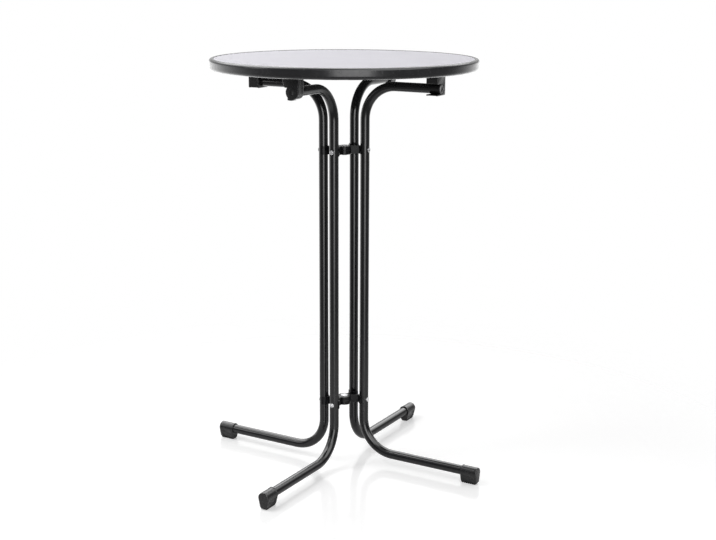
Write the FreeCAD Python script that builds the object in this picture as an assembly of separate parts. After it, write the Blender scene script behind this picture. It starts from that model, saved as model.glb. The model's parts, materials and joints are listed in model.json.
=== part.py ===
"""Standing-height folding bistro table: a round top on two crossed tube frames that scissor.

Millimetres, +Z up. The origin is on the floor under the middle of the top.
The hinge frame lies along Y and carries the top; the swing frame lies along X and turns about
the vertical centre line.
"""

import FreeCAD
import Part

import math
import os

from FreeCAD import Placement, Rotation, Vector

# Table top
table_height = 1110.0
top_diameter = 700.0
top_thickness = 27.0
rim_width = 14.0
rim_crown_width = 12.0
rim_upper_round = 7.0
rim_lower_round = 9.0
laminate_thickness = 1.0
glue_gap = 0.05

# Bent steel tube
tube_diameter = 25.0
tube_wall = 1.5
bend_radius = 90.0
run_drop = 42.0
leg_axis_height = 31.0

# Frame layout in plan, measured from the vertical centre line
hinge_post_offset = 52.0
swing_post_offset = 46.0
swing_side_step = 30.0
foot_reach = 398.0

# Straps, knuckles and pivot pins
upper_strap_height = 871.0
lower_strap_height = 177.0
strap_depth = 22.0
strap_sheet = 2.0
web_sheet = 4.0
knuckle_diameter = 36.0
knuckle_gap = 0.5
pivot_pin_diameter = 10.0
pivot_head_diameter = 19.0
pivot_head_thickness = 2.0
pivot_washer_thickness = 1.0
saddle_clearance = 0.05
pivot_clearance = 0.05
axial_clearance = 0.1

# Tube rivets
rivet_diameter = 6.0
rivet_head_diameter = 12.0
rivet_head_height = 2.6
rivet_clearance = 0.05

# Hinge brackets
hinge_bracket_middle = 235.5
hinge_bracket_length = 27.0
hinge_knuckle_wall = 5.4
hinge_ledge_reach = 21.2
hinge_ledge_rise = 11.0
hinge_flare_reach = 31.0
hinge_flange_margin = 2.0
hinge_flange_thickness = 5.0
hinge_ear_length = 16.0
hinge_end_wall = 3.0
hinge_clearance = 0.1
run_end_gap = 1.0

# Side-opening clips
clip_inner_reach = 236.0
clip_length = 32.0
clip_width = 44.0
clip_lower_lip = 2.8
clip_clearance = 0.5
clip_ear_length = 16.0
clip_ear_thickness = 6.0
catch_plate_height = 21.0
catch_plate_width = 26.0
catch_plate_thickness = 2.0
catch_peg_diameter = 4.0
catch_peg_length = 6.0
catch_collar_diameter = 8.0
catch_collar_thickness = 1.0

# Rounds on the moulded brackets
moulding_round = 3.0

# Bracket screws
screw_diameter = 4.0
screw_bite = 14.0
screw_head_diameter = 8.0
screw_head_height = 2.4
screw_edge = 8.0
screw_clearance = 0.05

# Run end plugs
plug_disc_thickness = 2.5
plug_stem_length = 12.0
plug_clearance = 0.1

# Feet
cap_length = 46.0
cap_wall = 2.5
cap_end_wall = 3.0
cap_round = 2.0
cap_clearance = 0.1
sole_width = 18.0
pad_thickness = 4.0
pad_margin = 0.5

# Worked out from the sizes above
tube_radius = tube_diameter / 2
tube_bore_radius = tube_radius - tube_wall
top_radius = top_diameter / 2
underside = table_height - top_thickness
run_axis_height = underside - run_drop
core_radius = top_radius - rim_width
laminate_radius = top_radius - rim_crown_width
saddle_radius = tube_radius + saddle_clearance + strap_sheet
knuckle_radius = knuckle_diameter / 2
hinge_bracket_inner = hinge_bracket_middle - hinge_bracket_length / 2
hinge_bracket_outer = hinge_bracket_middle + hinge_bracket_length / 2
hinge_run_end = hinge_bracket_outer - hinge_end_wall - run_end_gap
hinge_flange_half_length = hinge_bracket_length / 2 + hinge_ear_length
hinge_flange_half_width = hinge_flare_reach + hinge_flange_margin
clip_outer_reach = clip_inner_reach + clip_length
swing_run_end = clip_outer_reach - plug_disc_thickness
leg_end = foot_reach - cap_end_wall
cap_start = foot_reach - cap_length
cap_radius = tube_radius + cap_clearance + cap_wall

UP = Vector(0, 0, 1)
OUTWARD = Vector(1, 0, 0)
SIDEWAYS = Vector(0, 1, 0)
ORIGIN = Vector(0, 0, 0)
FULL_TURN = 360.0
HALF_TURN = 180.0
QUARTER_TURN = 90.0
EIGHTH_TURN = 45.0


def cylinder(radius, length, base, axis):
    return Part.makeCylinder(radius, length, base, axis)


def box(x_low, x_high, y_low, y_high, z_low, z_high):
    return Part.makeBox(x_high - x_low, y_high - y_low, z_high - z_low, Vector(x_low, y_low, z_low))


def turned(shape, degrees):
    """A copy of the shape, turned about the vertical centre line."""
    copy = shape.copy()
    copy.Placement = Placement(ORIGIN, Rotation(UP, degrees)).multiply(copy.Placement)
    return copy


def group(shapes):
    return Part.makeCompound(shapes)


def save(name, shape):
    os.makedirs("parts", exist_ok=True)
    shape.exportStep(os.path.join("parts", name + ".step"))
    print(name, "solids", len(shape.Solids), "volume", round(shape.Volume, 1), "valid", shape.isValid())


# Top


def make_core(screw_places):
    core = cylinder(core_radius - glue_gap, top_thickness - laminate_thickness, Vector(0, 0, underside), UP)
    pilots = [
        cylinder(screw_diameter / 2 + screw_clearance, screw_bite, Vector(x, y, underside), UP)
        for x, y in screw_places
    ]
    return core.cut(group(pilots))


def make_laminate():
    shoulder = table_height - laminate_thickness
    return cylinder(laminate_radius, laminate_thickness, Vector(0, 0, shoulder), UP)


def make_rim():
    """A moulded edge band, flat on top and rounded outside, with a step that the laminate lies in."""
    shoulder = table_height - laminate_thickness
    lip_start = laminate_radius + glue_gap
    crown_end = Vector(top_radius - rim_upper_round, 0, table_height)
    flank_high = Vector(top_radius, 0, table_height - rim_upper_round)
    flank_low = Vector(top_radius, 0, underside + rim_lower_round)
    belly = Vector(top_radius - rim_lower_round, 0, underside)
    arc_inset = 1 - math.cos(math.radians(EIGHTH_TURN))
    upper_inset = rim_upper_round * arc_inset
    lower_inset = rim_lower_round * arc_inset
    upper_middle = Vector(top_radius - upper_inset, 0, table_height - upper_inset)
    lower_middle = Vector(top_radius - lower_inset, 0, underside + lower_inset)
    inner_low = Vector(core_radius, 0, underside)
    inner_high = Vector(core_radius, 0, shoulder)
    step_foot = Vector(lip_start, 0, shoulder)
    step_top = Vector(lip_start, 0, table_height)
    edges = [
        Part.LineSegment(inner_low, belly).toShape(),
        Part.Arc(belly, lower_middle, flank_low).toShape(),
        Part.LineSegment(flank_low, flank_high).toShape(),
        Part.Arc(flank_high, upper_middle, crown_end).toShape(),
        Part.LineSegment(crown_end, step_top).toShape(),
        Part.LineSegment(step_top, step_foot).toShape(),
        Part.LineSegment(step_foot, inner_high).toShape(),
        Part.LineSegment(inner_high, inner_low).toShape(),
    ]
    return Part.Face(Part.Wire(edges)).revolve(ORIGIN, UP, FULL_TURN)


# Bent tubes


def make_post(run_end, post_offset, side_step):
    """One bent tube in the plane of X and Z: run under the top, bend, post, bend, leg on the floor side."""
    run_start = post_offset + bend_radius
    post_top = run_axis_height - bend_radius
    post_bottom = leg_axis_height + bend_radius
    outer = []
    inner = []
    for radius, solids in ((tube_radius, outer), (tube_bore_radius, inner)):
        solids.append(cylinder(radius, run_end - run_start, Vector(run_start, 0, run_axis_height), OUTWARD))
        solids.append(cylinder(radius, post_top - post_bottom, Vector(post_offset, 0, post_bottom), UP))
        solids.append(cylinder(radius, leg_end - run_start, Vector(run_start, 0, leg_axis_height), OUTWARD))
        for height, sense in ((post_top, 1), (post_bottom, -1)):
            section = Part.Face(Part.Wire(Part.makeCircle(radius, Vector(post_offset, 0, height), UP)))
            solids.append(section.revolve(Vector(run_start, 0, height), SIDEWAYS * sense, QUARTER_TURN))
    tube = outer[0].fuse(outer[1:]).removeSplitter().cut(inner[0].fuse(inner[1:]).removeSplitter())
    holes = [
        cylinder(
            rivet_diameter / 2 + rivet_clearance,
            2 * tube_diameter,
            Vector(post_offset - tube_diameter, 0, height),
            OUTWARD,
        )
        for height in (upper_strap_height, lower_strap_height)
    ]
    tube = tube.cut(group(holes))
    tube.translate(SIDEWAYS * side_step)
    return tube


def make_run_plug(run_end, side_step):
    """Moulded plug that closes the free end of a run."""
    disc = cylinder(tube_radius, plug_disc_thickness, Vector(run_end, side_step, run_axis_height), OUTWARD)
    stem = cylinder(
        tube_bore_radius - plug_clearance,
        plug_stem_length,
        Vector(run_end - plug_stem_length, side_step, run_axis_height),
        OUTWARD,
    )
    return disc.fuse(stem)


# Straps between the two posts of a frame


def make_saddle(post_offset, side_step, height):
    """Half sleeve on the side of the post that faces the centre line."""
    base = Vector(post_offset, side_step, height - strap_depth / 2)
    sleeve = cylinder(saddle_radius, strap_depth, base, UP)
    half = box(
        post_offset - saddle_radius,
        post_offset,
        side_step - saddle_radius,
        side_step + saddle_radius,
        height - strap_depth / 2,
        height + strap_depth / 2,
    )
    return sleeve.common(half)


def make_strap(post_offset, side_step, height, upper_half):
    """Two saddles joined by webs of full depth to a half-depth knuckle on the centre line."""
    half_depth = strap_depth / 2 - pivot_washer_thickness / 2
    web_low = height - strap_depth / 2
    if upper_half:
        web_low = height + pivot_washer_thickness / 2 + axial_clearance
        half_depth = half_depth - axial_clearance
    saddle = make_saddle(post_offset, side_step, height)
    web_end = Vector(post_offset - tube_radius, side_step, 0)
    root = box(0, web_end.Length, -web_sheet / 2, web_sheet / 2, web_low, web_low + half_depth)
    wing = box(
        knuckle_radius + knuckle_gap, web_end.Length,
        -web_sheet / 2, web_sheet / 2,
        height - strap_depth / 2, height + strap_depth / 2,
    )
    web = root.fuse(wing)
    web.rotate(ORIGIN, UP, math.degrees(OUTWARD.getAngle(web_end)))
    arm = saddle.fuse(web)
    knuckle = cylinder(knuckle_radius, half_depth, Vector(0, 0, web_low), UP)
    strap = knuckle.fuse([arm, turned(arm, HALF_TURN)]).removeSplitter()
    post_base = Vector(post_offset, side_step, height - strap_depth / 2)
    post = cylinder(tube_radius + saddle_clearance, strap_depth, post_base, UP)
    hole = cylinder(
        rivet_diameter / 2 + rivet_clearance,
        saddle_radius,
        Vector(post_offset - saddle_radius, side_step, height),
        OUTWARD,
    )
    bore = cylinder(pivot_pin_diameter / 2 + pivot_clearance, half_depth, Vector(0, 0, web_low), UP)
    post_space = post.fuse(hole)
    return strap.cut(group([bore, post_space, turned(post_space, HALF_TURN)]))


def make_rivet(post_offset, side_step, height):
    """Dome-headed rivet through a post, from the leg side to the saddle."""
    outer_face = post_offset + tube_radius
    shank = cylinder(
        rivet_diameter / 2,
        tube_radius + saddle_radius,
        Vector(post_offset - saddle_radius, side_step, height),
        OUTWARD,
    )
    head_radius = rivet_head_diameter / 2
    sphere_radius = (head_radius**2 + rivet_head_height**2) / (2 * rivet_head_height)
    ball = Part.makeSphere(
        sphere_radius, Vector(outer_face + rivet_head_height - sphere_radius, side_step, height)
    )
    head_blank = cylinder(
        head_radius, tube_radius, Vector(post_offset + tube_radius / 2, side_step, height), OUTWARD
    )
    post = cylinder(
        tube_radius + saddle_clearance,
        2 * rivet_head_diameter,
        Vector(post_offset, side_step, height - rivet_head_diameter),
        UP,
    )
    head = head_blank.common(ball).cut(post)
    return shank.fuse(head)


def make_pivot_pin(height):
    """Headed pin on the centre line, through both knuckles."""
    low = height - strap_depth / 2
    high = height + strap_depth / 2 + axial_clearance
    shank = cylinder(pivot_pin_diameter / 2, high - low, Vector(0, 0, low), UP)
    head_radius = pivot_head_diameter / 2
    lower_head = cylinder(head_radius, pivot_head_thickness, Vector(0, 0, low - pivot_head_thickness), UP)
    upper_head = cylinder(head_radius, pivot_head_thickness, Vector(0, 0, high), UP)
    return shank.fuse([lower_head, upper_head]).removeSplitter()


def make_pivot_washer(height):
    base = Vector(0, 0, height - pivot_washer_thickness / 2)
    ring = cylinder(knuckle_radius, pivot_washer_thickness, base, UP)
    return ring.cut(cylinder(pivot_pin_diameter / 2 + pivot_clearance, pivot_washer_thickness, base, UP))


# Brackets under the top


def screw_holes(places):
    """Clearance holes under the top, for the screws of a bracket."""
    radius = screw_diameter / 2 + screw_clearance
    return [cylinder(radius, run_drop, Vector(x, y, run_axis_height), UP) for x, y in places]


def hinge_screw_places():
    across = hinge_flange_half_width - screw_edge
    along = hinge_flange_half_length - screw_edge
    return [
        (hinge_bracket_middle + step, side)
        for step in (-along, along)
        for side in (-across, across)
    ]


def make_hinge_bracket():
    """Moulded bracket whose blind knuckle lets the top turn on the end of a run.

    Its neck flares on one side and is upright on the other, where the folded swing frame lies.
    """
    outer_radius = tube_radius + hinge_clearance + hinge_knuckle_wall
    knuckle = cylinder(
        outer_radius, hinge_bracket_length, Vector(hinge_bracket_inner, 0, run_axis_height), OUTWARD
    )
    flange_low = underside - hinge_flange_thickness
    ledge = run_axis_height + hinge_ledge_rise
    corners = [
        Vector(hinge_bracket_inner, -hinge_ledge_reach, ledge),
        Vector(hinge_bracket_inner, 0, ledge),
        Vector(hinge_bracket_inner, 0, run_axis_height),
        Vector(hinge_bracket_inner, outer_radius, run_axis_height),
        Vector(hinge_bracket_inner, outer_radius, flange_low),
        Vector(hinge_bracket_inner, -hinge_flare_reach, flange_low),
    ]
    shoulder = Part.Face(Part.makePolygon(corners + corners[:1])).extrude(OUTWARD * hinge_bracket_length)
    flange = box(
        hinge_bracket_middle - hinge_flange_half_length, hinge_bracket_middle + hinge_flange_half_length,
        -hinge_flange_half_width, hinge_flange_half_width,
        flange_low, underside,
    )
    flange = flange.makeFillet(moulding_round, upright_edges(flange, hinge_flange_thickness))
    body = flange.fuse([shoulder, knuckle]).removeSplitter()
    bore = cylinder(
        tube_radius + hinge_clearance,
        hinge_bracket_length - hinge_end_wall,
        Vector(hinge_bracket_inner, 0, run_axis_height),
        OUTWARD,
    )
    return body.cut(group([bore] + screw_holes(hinge_screw_places())))


def on_level(edge, height):
    """True for an edge that lies flat at a height, along the run."""
    bounds = edge.BoundBox
    return bounds.ZLength < glue_gap and bounds.YLength < glue_gap and abs(bounds.ZMin - height) < glue_gap


def upright_edges(shape, height):
    """The vertical edges of a shape that are as tall as a flange."""
    return [
        edge
        for edge in shape.Edges
        if edge.BoundBox.XLength + edge.BoundBox.YLength < glue_gap
        and abs(edge.BoundBox.ZLength - height) < glue_gap
    ]


def clip_screw_places():
    across = clip_width / 2 - screw_edge
    return [(clip_outer_reach + clip_ear_length / 2, swing_side_step + side) for side in (-across, across)]


def make_clip():
    """Moulded clip, open towards the side to which its run swings away."""
    side_low = swing_side_step - clip_width / 2
    side_high = swing_side_step + clip_width / 2
    slot_half = tube_radius + clip_clearance
    bottom = run_axis_height - slot_half - clip_lower_lip
    body = box(clip_inner_reach, clip_outer_reach, side_low, side_high, bottom, underside)
    ear = box(
        clip_outer_reach, clip_outer_reach + clip_ear_length,
        side_low, side_high,
        underside - clip_ear_thickness, underside,
    )
    slot = box(
        clip_inner_reach, clip_outer_reach,
        side_low, swing_side_step,
        run_axis_height - slot_half, run_axis_height + slot_half,
    )
    seat = cylinder(
        slot_half, clip_length, Vector(clip_inner_reach, swing_side_step, run_axis_height), OUTWARD
    )
    holes = screw_holes(clip_screw_places())
    peg_hole = cylinder(
        catch_peg_diameter / 2 + screw_clearance, catch_peg_length / 2, catch_peg_base(), OUTWARD
    )
    clip = body.fuse(ear).cut(group([slot.fuse(seat), peg_hole] + holes))
    upper_mouth_edges = side_edges(clip, side_low, run_axis_height + slot_half)
    lower_back_edges = side_edges(clip, side_high, bottom)
    ear_edges = upright_edges(clip, clip_ear_thickness)
    clip = clip.makeFillet(moulding_round, upper_mouth_edges + lower_back_edges + ear_edges)
    lower_mouth_edges = side_edges(clip, side_low, run_axis_height - slot_half)
    return clip.makeFillet(clip_lower_lip / 2, lower_mouth_edges)


def side_edges(shape, side, height):
    """The edges along the run on one side of a clip, at a height."""
    return [
        edge for edge in shape.Edges if abs(edge.BoundBox.YMin - side) < glue_gap and on_level(edge, height)
    ]


def catch_peg_base():
    return Vector(clip_inner_reach, swing_side_step, underside - catch_plate_height / 2)


def make_catch_plate():
    """Bright plate on the inner face of a clip, above the run."""
    plate = box(
        clip_inner_reach - catch_plate_thickness, clip_inner_reach,
        swing_side_step - catch_plate_width / 2, swing_side_step + catch_plate_width / 2,
        underside - catch_plate_height, underside,
    )
    hole = cylinder(
        catch_peg_diameter / 2 + screw_clearance,
        2 * catch_plate_thickness,
        catch_peg_base() - OUTWARD * 2 * catch_plate_thickness,
        OUTWARD,
    )
    return plate.cut(hole)


def make_catch_peg():
    """Peg that holds the catch plate to its clip."""
    start = catch_peg_base() - OUTWARD * (catch_plate_thickness + catch_peg_length / 2)
    shank = cylinder(
        catch_peg_diameter / 2, catch_peg_length + catch_plate_thickness, start, OUTWARD
    )
    collar = cylinder(
        catch_collar_diameter / 2,
        catch_collar_thickness,
        catch_peg_base() - OUTWARD * (catch_plate_thickness + catch_collar_thickness),
        OUTWARD,
    )
    return shank.fuse(collar).removeSplitter()


def make_screw(place, flange_thickness):
    x, y = place
    seat = underside - flange_thickness
    shank = cylinder(screw_diameter / 2, flange_thickness + screw_bite, Vector(x, y, seat), UP)
    head = cylinder(screw_head_diameter / 2, screw_head_height, Vector(x, y, seat - screw_head_height), UP)
    return shank.fuse(head).removeSplitter()


# Feet


def make_foot_cap(side_step):
    """Moulded cap over the end of a leg: a round back whose flanks run in to a narrower sole."""
    sole_drop = leg_axis_height - pad_thickness
    sole_corner = Vector(cap_start, sole_width / 2, pad_thickness)
    to_corner = math.hypot(sole_width / 2, sole_drop)
    flank_turn = math.acos(cap_radius / to_corner) - math.atan2(sole_drop, sole_width / 2)
    flank_top = Vector(
        cap_start,
        cap_radius * math.cos(flank_turn),
        leg_axis_height + cap_radius * math.sin(flank_turn),
    )
    crown = Vector(cap_start, 0, leg_axis_height + cap_radius)
    outline = [
        Part.LineSegment(across_mirror(sole_corner), sole_corner).toShape(),
        Part.LineSegment(sole_corner, flank_top).toShape(),
        Part.Arc(flank_top, crown, across_mirror(flank_top)).toShape(),
        Part.LineSegment(across_mirror(flank_top), across_mirror(sole_corner)).toShape(),
    ]
    shell = Part.Face(Part.Wire(outline)).extrude(OUTWARD * cap_length)
    end_edges = [edge for edge in shell.Edges if edge.BoundBox.XMin > foot_reach - glue_gap]
    shell = shell.makeFillet(cap_round, end_edges)
    bore = cylinder(
        tube_radius + cap_clearance,
        cap_length - cap_end_wall,
        Vector(cap_start, 0, leg_axis_height),
        OUTWARD,
    )
    cap = shell.cut(bore)
    cap.translate(SIDEWAYS * side_step)
    return cap


def across_mirror(point):
    return Vector(point.x, -point.y, point.z)


def make_foot_pad(side_step):
    half_width = sole_width / 2 - pad_margin
    return box(
        cap_start + pad_margin, foot_reach - cap_round - pad_margin,
        side_step - half_width, side_step + half_width,
        0, pad_thickness,
    )


# Assembly: the hinge frame is turned so that its runs lie along Y, front at -Y

FRONT = -QUARTER_TURN
REAR = QUARTER_TURN
RIGHT = 0.0
LEFT = HALF_TURN
hinge_ends = (("front", FRONT), ("rear", REAR))
swing_ends = (("right", RIGHT), ("left", LEFT))
strap_levels = (("upper", upper_strap_height), ("lower", lower_strap_height))


def plan_places(places, degrees):
    turn = Rotation(UP, degrees)
    points = [turn.multVec(Vector(x, y, 0)) for x, y in places]
    return [(point.x, point.y) for point in points]


screw_places = []
for _, degrees in hinge_ends:
    screw_places += plan_places(hinge_screw_places(), degrees)
for _, degrees in swing_ends:
    screw_places += plan_places(clip_screw_places(), degrees)

save("tabletop_core", make_core(screw_places))
save("top_laminate", make_laminate())
save("rim_band", make_rim())

for end, degrees in hinge_ends:
    save(end + "_hinge_tube", turned(make_post(hinge_run_end, hinge_post_offset, 0), degrees))
    save(end + "_hinge_bracket", turned(make_hinge_bracket(), degrees))
    save(end + "_foot_cap", turned(make_foot_cap(0), degrees))
for end, degrees in swing_ends:
    save(end + "_swing_tube", turned(make_post(swing_run_end, swing_post_offset, swing_side_step), degrees))
    save(end + "_clip", turned(make_clip(), degrees))
    save(end + "_catch_plate", turned(make_catch_plate(), degrees))
    save(end + "_run_plug", turned(make_run_plug(swing_run_end, swing_side_step), degrees))
    save(end + "_foot_cap", turned(make_foot_cap(swing_side_step), degrees))

for level, height in strap_levels:
    hinge_strap = make_strap(hinge_post_offset, 0, height, False)
    save(level + "_hinge_strap", turned(hinge_strap, FRONT))
    save(level + "_swing_strap", make_strap(swing_post_offset, swing_side_step, height, True))
    save(level + "_pivot_pin", make_pivot_pin(height))
    save(level + "_pivot_washer", make_pivot_washer(height))

hinge_rivets = [
    turned(make_rivet(hinge_post_offset, 0, height), degrees)
    for _, degrees in hinge_ends
    for _, height in strap_levels
]
swing_rivets = [
    turned(make_rivet(swing_post_offset, swing_side_step, height), degrees)
    for _, degrees in swing_ends
    for _, height in strap_levels
]
save("hinge_frame_rivets", group(hinge_rivets))
save("swing_frame_rivets", group(swing_rivets))

hinge_pads = [turned(make_foot_pad(0), degrees) for _, degrees in hinge_ends]
swing_pads = [turned(make_foot_pad(swing_side_step), degrees) for _, degrees in swing_ends]
save("hinge_frame_foot_pads", group(hinge_pads))
save("swing_frame_foot_pads", group(swing_pads))
save("catch_pegs", group([turned(make_catch_peg(), degrees) for _, degrees in swing_ends]))

hinge_screws = [
    turned(make_screw(place, hinge_flange_thickness), degrees)
    for _, degrees in hinge_ends
    for place in hinge_screw_places()
]
clip_screws = [
    turned(make_screw(place, clip_ear_thickness), degrees)
    for _, degrees in swing_ends
    for place in clip_screw_places()
]
save("hinge_bracket_screws", group(hinge_screws))
save("clip_screws", group(clip_screws))
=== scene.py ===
"""Finished pieces for the folding standing table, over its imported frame, and the studio it stands in.

Metres, +Z up. An arm's own frame runs outward along X, sideways along Y and up along Z,
and is turned about the vertical centre line onto its place.
"""

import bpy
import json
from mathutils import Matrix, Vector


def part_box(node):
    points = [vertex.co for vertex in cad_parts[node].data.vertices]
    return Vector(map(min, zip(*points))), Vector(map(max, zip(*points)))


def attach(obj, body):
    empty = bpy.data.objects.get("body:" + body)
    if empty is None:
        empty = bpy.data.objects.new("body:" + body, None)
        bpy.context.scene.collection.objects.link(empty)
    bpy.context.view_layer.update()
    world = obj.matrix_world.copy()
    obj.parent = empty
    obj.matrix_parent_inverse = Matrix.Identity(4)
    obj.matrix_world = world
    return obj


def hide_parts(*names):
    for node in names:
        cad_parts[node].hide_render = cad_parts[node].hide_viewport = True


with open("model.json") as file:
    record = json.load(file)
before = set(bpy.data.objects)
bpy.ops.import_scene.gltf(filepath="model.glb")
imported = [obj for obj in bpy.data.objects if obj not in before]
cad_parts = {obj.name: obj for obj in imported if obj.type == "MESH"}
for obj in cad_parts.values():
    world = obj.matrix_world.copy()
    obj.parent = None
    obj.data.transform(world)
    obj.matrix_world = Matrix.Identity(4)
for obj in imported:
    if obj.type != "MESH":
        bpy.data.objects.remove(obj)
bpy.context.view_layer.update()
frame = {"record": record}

import json
import math

import bmesh
import bpy
from bpy.props import FloatProperty, FloatVectorProperty, IntProperty, PointerProperty
from bpy.types import Operator, Panel, PropertyGroup
from mathutils import Matrix, Vector

bl_info = {
    "name": "Folding Standing Table",
    "version": (1, 0, 0),
    "blender": (4, 5, 0),
    "location": "View3D > Sidebar > Folding Table",
    "description": "Builds the finished pieces of a folding standing table and its studio",
    "category": "Object",
}

MM = 0.001
ARM_TURN = {"front": -90.0, "rear": 90.0, "right": 0.0, "left": 180.0}
HINGE_ENDS = ("front", "rear")
SWING_ENDS = ("right", "left")
LEVELS = ("upper", "lower")

# Fineness of round forms
SHARP_ANGLE = math.radians(32)
ARC_STEPS = 6
ROUND_STEPS = 5
HALF_TURN_STEPS = 24
LATHE_STEPS = 48
TUBE_STEPS = 40
BEND_STEPS = 20
RIM_STEPS = 360
RIM_ROUND_STEPS = 10
HEAD_RINGS = 8

# Edges and joins of all pieces; a form sinks a little into the one it grows from
SINK = 1 * MM
FINE_EDGE = 0.4 * MM
PLATE_CORNER = 3 * MM
WALL_HOLD = 1.5
MITRE_LIMIT = 0.5

# Grain and flecks of the finishes
NOISE_LOW = 0.3
NOISE_HIGH = 0.7
FLECK_SHADES = (0.93, 0.985, 1.03)
FLECK_STOPS = (0.0, 0.16, 0.24, 0.76, 0.84)
CHIP_SHADES = (0.75, 1.35)
CHIP_STOPS = (0.25, 0.75)

# Top
GLUE_LINE = 0.05 * MM
RIM_BEAD = 1 * MM

# Run plugs; the dish has shares of the radius and depths
PLUG_DISC = 2.5 * MM
PLUG_EDGE = 1.2 * MM
PLUG_CHAMFER = 0.35 * MM
PLUG_DISH = ((0.45, 0.0), (0.38, 0.5 * MM), (0.0, 0.6 * MM))

# Straps and pivot pins
SADDLE_PLAY = 0.05 * MM
AXIAL_PLAY = 0.1 * MM
KNUCKLE_GAP = 0.5 * MM
STUB_EASE = 0.1 * MM
PIN_HEAD = 2 * MM
PIN_SHANK = 5 * MM
PIN_CHAMFER = 0.6 * MM

# Rivets and the dimples they sit in
RIVET_LIP = 0.4 * MM
DIMPLE_DEPTH = 1.3 * MM
DIMPLE_REACH = 13 * MM
DIMPLE_WIDTH = 7.5 * MM
DIMPLE_STEPS = 7

# Hinge brackets
HINGE_END_WALL = 4 * MM
HINGE_FLANGE = 5 * MM
HINGE_EAR = 16 * MM
LEDGE_RISE = 11 * MM
LEDGE_REACH = 21.2 * MM
LEDGE_ROUND = 2 * MM
FLARE_REACH = 31 * MM
RIB_PLACES = (1.5 * MM, 19 * MM)
RIB_RISE = 1.2 * MM
RIB_BITE = 3 * MM
RIB_FOOT = 4 * MM
RIB_SHOULDER = 2 * MM
RIB_SPREAD = 4 * MM
RIB_ROUNDS = (0.5 * MM, 1 * MM, 2 * MM)
BOSS_RISE = 0.6 * MM
BOSS_SHARE = 0.62
BOSS_STEPS = 4
BOSS_DISH = (0.3, 0.22)
NOSE_WIDTH = 13 * MM
NOSE_DROP = 2.2 * MM
NOSE_ROOT = 6 * MM
NOSE_ROUND = 1 * MM
NOSE_TIP = 0.1
NOSE_SETBACK = (4 * MM, 0.5 * MM)
COLLAR_WIDTH = 2.6 * MM
COLLAR_RISE = 0.7 * MM
COLLAR_PLAY = 0.1 * MM
COLLAR_EDGE = 0.5 * MM

# Clips; a bead has shares of its width and insets, a peg has radii and places from its plate
EAR_LENGTH = 16 * MM
CLIP_EAR = 6 * MM
CLIP_EAR_ROOT = 4 * MM
CLIP_PLAY = 0.5 * MM
CLIP_LIP_ROUND = 0.8 * MM
CLIP_TIP_ROUND = 1.4 * MM
CLIP_BACK_ROUND = 3 * MM
CLIP_MOUTH_ROUND = 3 * MM
BEAD_WIDTH = 2 * MM
BEAD_SKIN = 0.05 * MM
BEAD_SHAPE = ((-0.7, 0.3 * MM), (-0.35, -0.7 * MM), (0.35, -0.7 * MM), (0.7, 0.3 * MM))
CATCH_CORNER = 2 * MM
PEG_PROFILE_MM = ((0, -3), (1.2, -3), (2, -2.2), (2, -1), (3.6, -1), (4, -0.6), (4, 0.5), (0, 0.5))

# Screws
SCREW_EDGE = 8 * MM
SCREW_DOME = 0.3
SCREW_RECESS = {"Recess Length": 4.6 * MM, "Recess Width": 1.1 * MM, "Recess Depth": 1.3 * MM}

# Feet; pockets start behind the collar and end before the tip
SOLE_WIDTH = 18 * MM
SOLE_EDGE = 1.2 * MM
FLANK_STEPS = 10
CAP_ROUND = 2 * MM
CAP_MOUTH = (0.2 * MM, 0.6 * MM)
CAP_STEP = 0.5 * MM
POCKET_START = (3 * MM, 4.5 * MM)
POCKET_END = (9 * MM, 7.5 * MM)
PAD_MARGIN = 0.5 * MM
PAD_CORNER = 2 * MM
TREAD_BITE = 0.5 * MM
TREAD_EASE = 0.8 * MM
TREAD_SHARE = 0.62

# Studio
FLOOR_RADIUS = 1.6
FLOOR_STEPS = 96
FLOOR_GAP = 0.3 * MM
FLOOR_FADE = (0.42, 0.95)
FLOOR_ROUGHNESS = 0.14
FLOOR_SPECULAR = 0.22
LAMPS = {
    "overhead": {"place": (-1.4, -0.8, 3.0), "target": (0.0, 0.0, 0.8), "size": (1.3, 1.3)},
    "right_softbox": {
        "place": (2.9, -0.1, 1.5), "target": (0.0, 0.0, 0.9), "size": (1.0, 1.5),
        "power": 9.0, "mirrored": False,
    },
    "left_softbox": {"place": (-2.2, -2.2, 1.8), "target": (0.0, 0.0, 0.9), "size": (1.0, 1.0), "power": 8.0},
}
BACKDROP_SIDE = (-0.506, 0.863, 0.0)
SWEEP_SIDE = (-0.674, 0.739, 0.0)
SWEEP_EDGE = (-0.15, 0.95)
SWEEP_LEVEL = 2.3
SWEEP_DIP = (-0.08, 0.12)
SWEEP_LOW = 0.28
SWEEP_RISE = (0.3, 0.55)
SWEEP_GAIN = 2.0
ROOM_LEVEL = 0.22
PANEL_SIDE = (0.783, 0.621, 0.0)
PANEL_FRONT = (-0.8, -0.6)
PANEL_EDGE = (0.2, 0.36)
PANEL_FOOT = (-0.42, -0.08)
HIGH_SIDE = (0.639, -0.074, 0.766)
HIGH_EDGE = (0.74, 0.96)
HIGH_LEVEL = 3.4
CAMERA_PLACE = (1.69796, -2.82072, 1.34073)
CAMERA_LEVEL = (-0.50596, 0.86256, 0.0)
CAMERA_PITCH = 13.597
CAMERA_ROLL = 0.1958
CAMERA_SENSOR = 36.0

SLOT_OF = {part["node"]: part["material_slot"] for part in frame["record"]["subparts"]}
BODY_OF = {
    node: body for body, nodes in frame["record"]["behaviour"]["bodies"].items() for node in nodes
}


def arm_matrix(arm):
    return Matrix.Rotation(math.radians(ARM_TURN[arm]), 4, "Z")


def arm_box(node, arm):
    """Lowest and highest corner of a node in its arm's own frame."""
    back = arm_matrix(arm).inverted()
    first, second = (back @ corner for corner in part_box(node))
    return Vector(map(min, first, second)), Vector(map(max, first, second))


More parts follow.
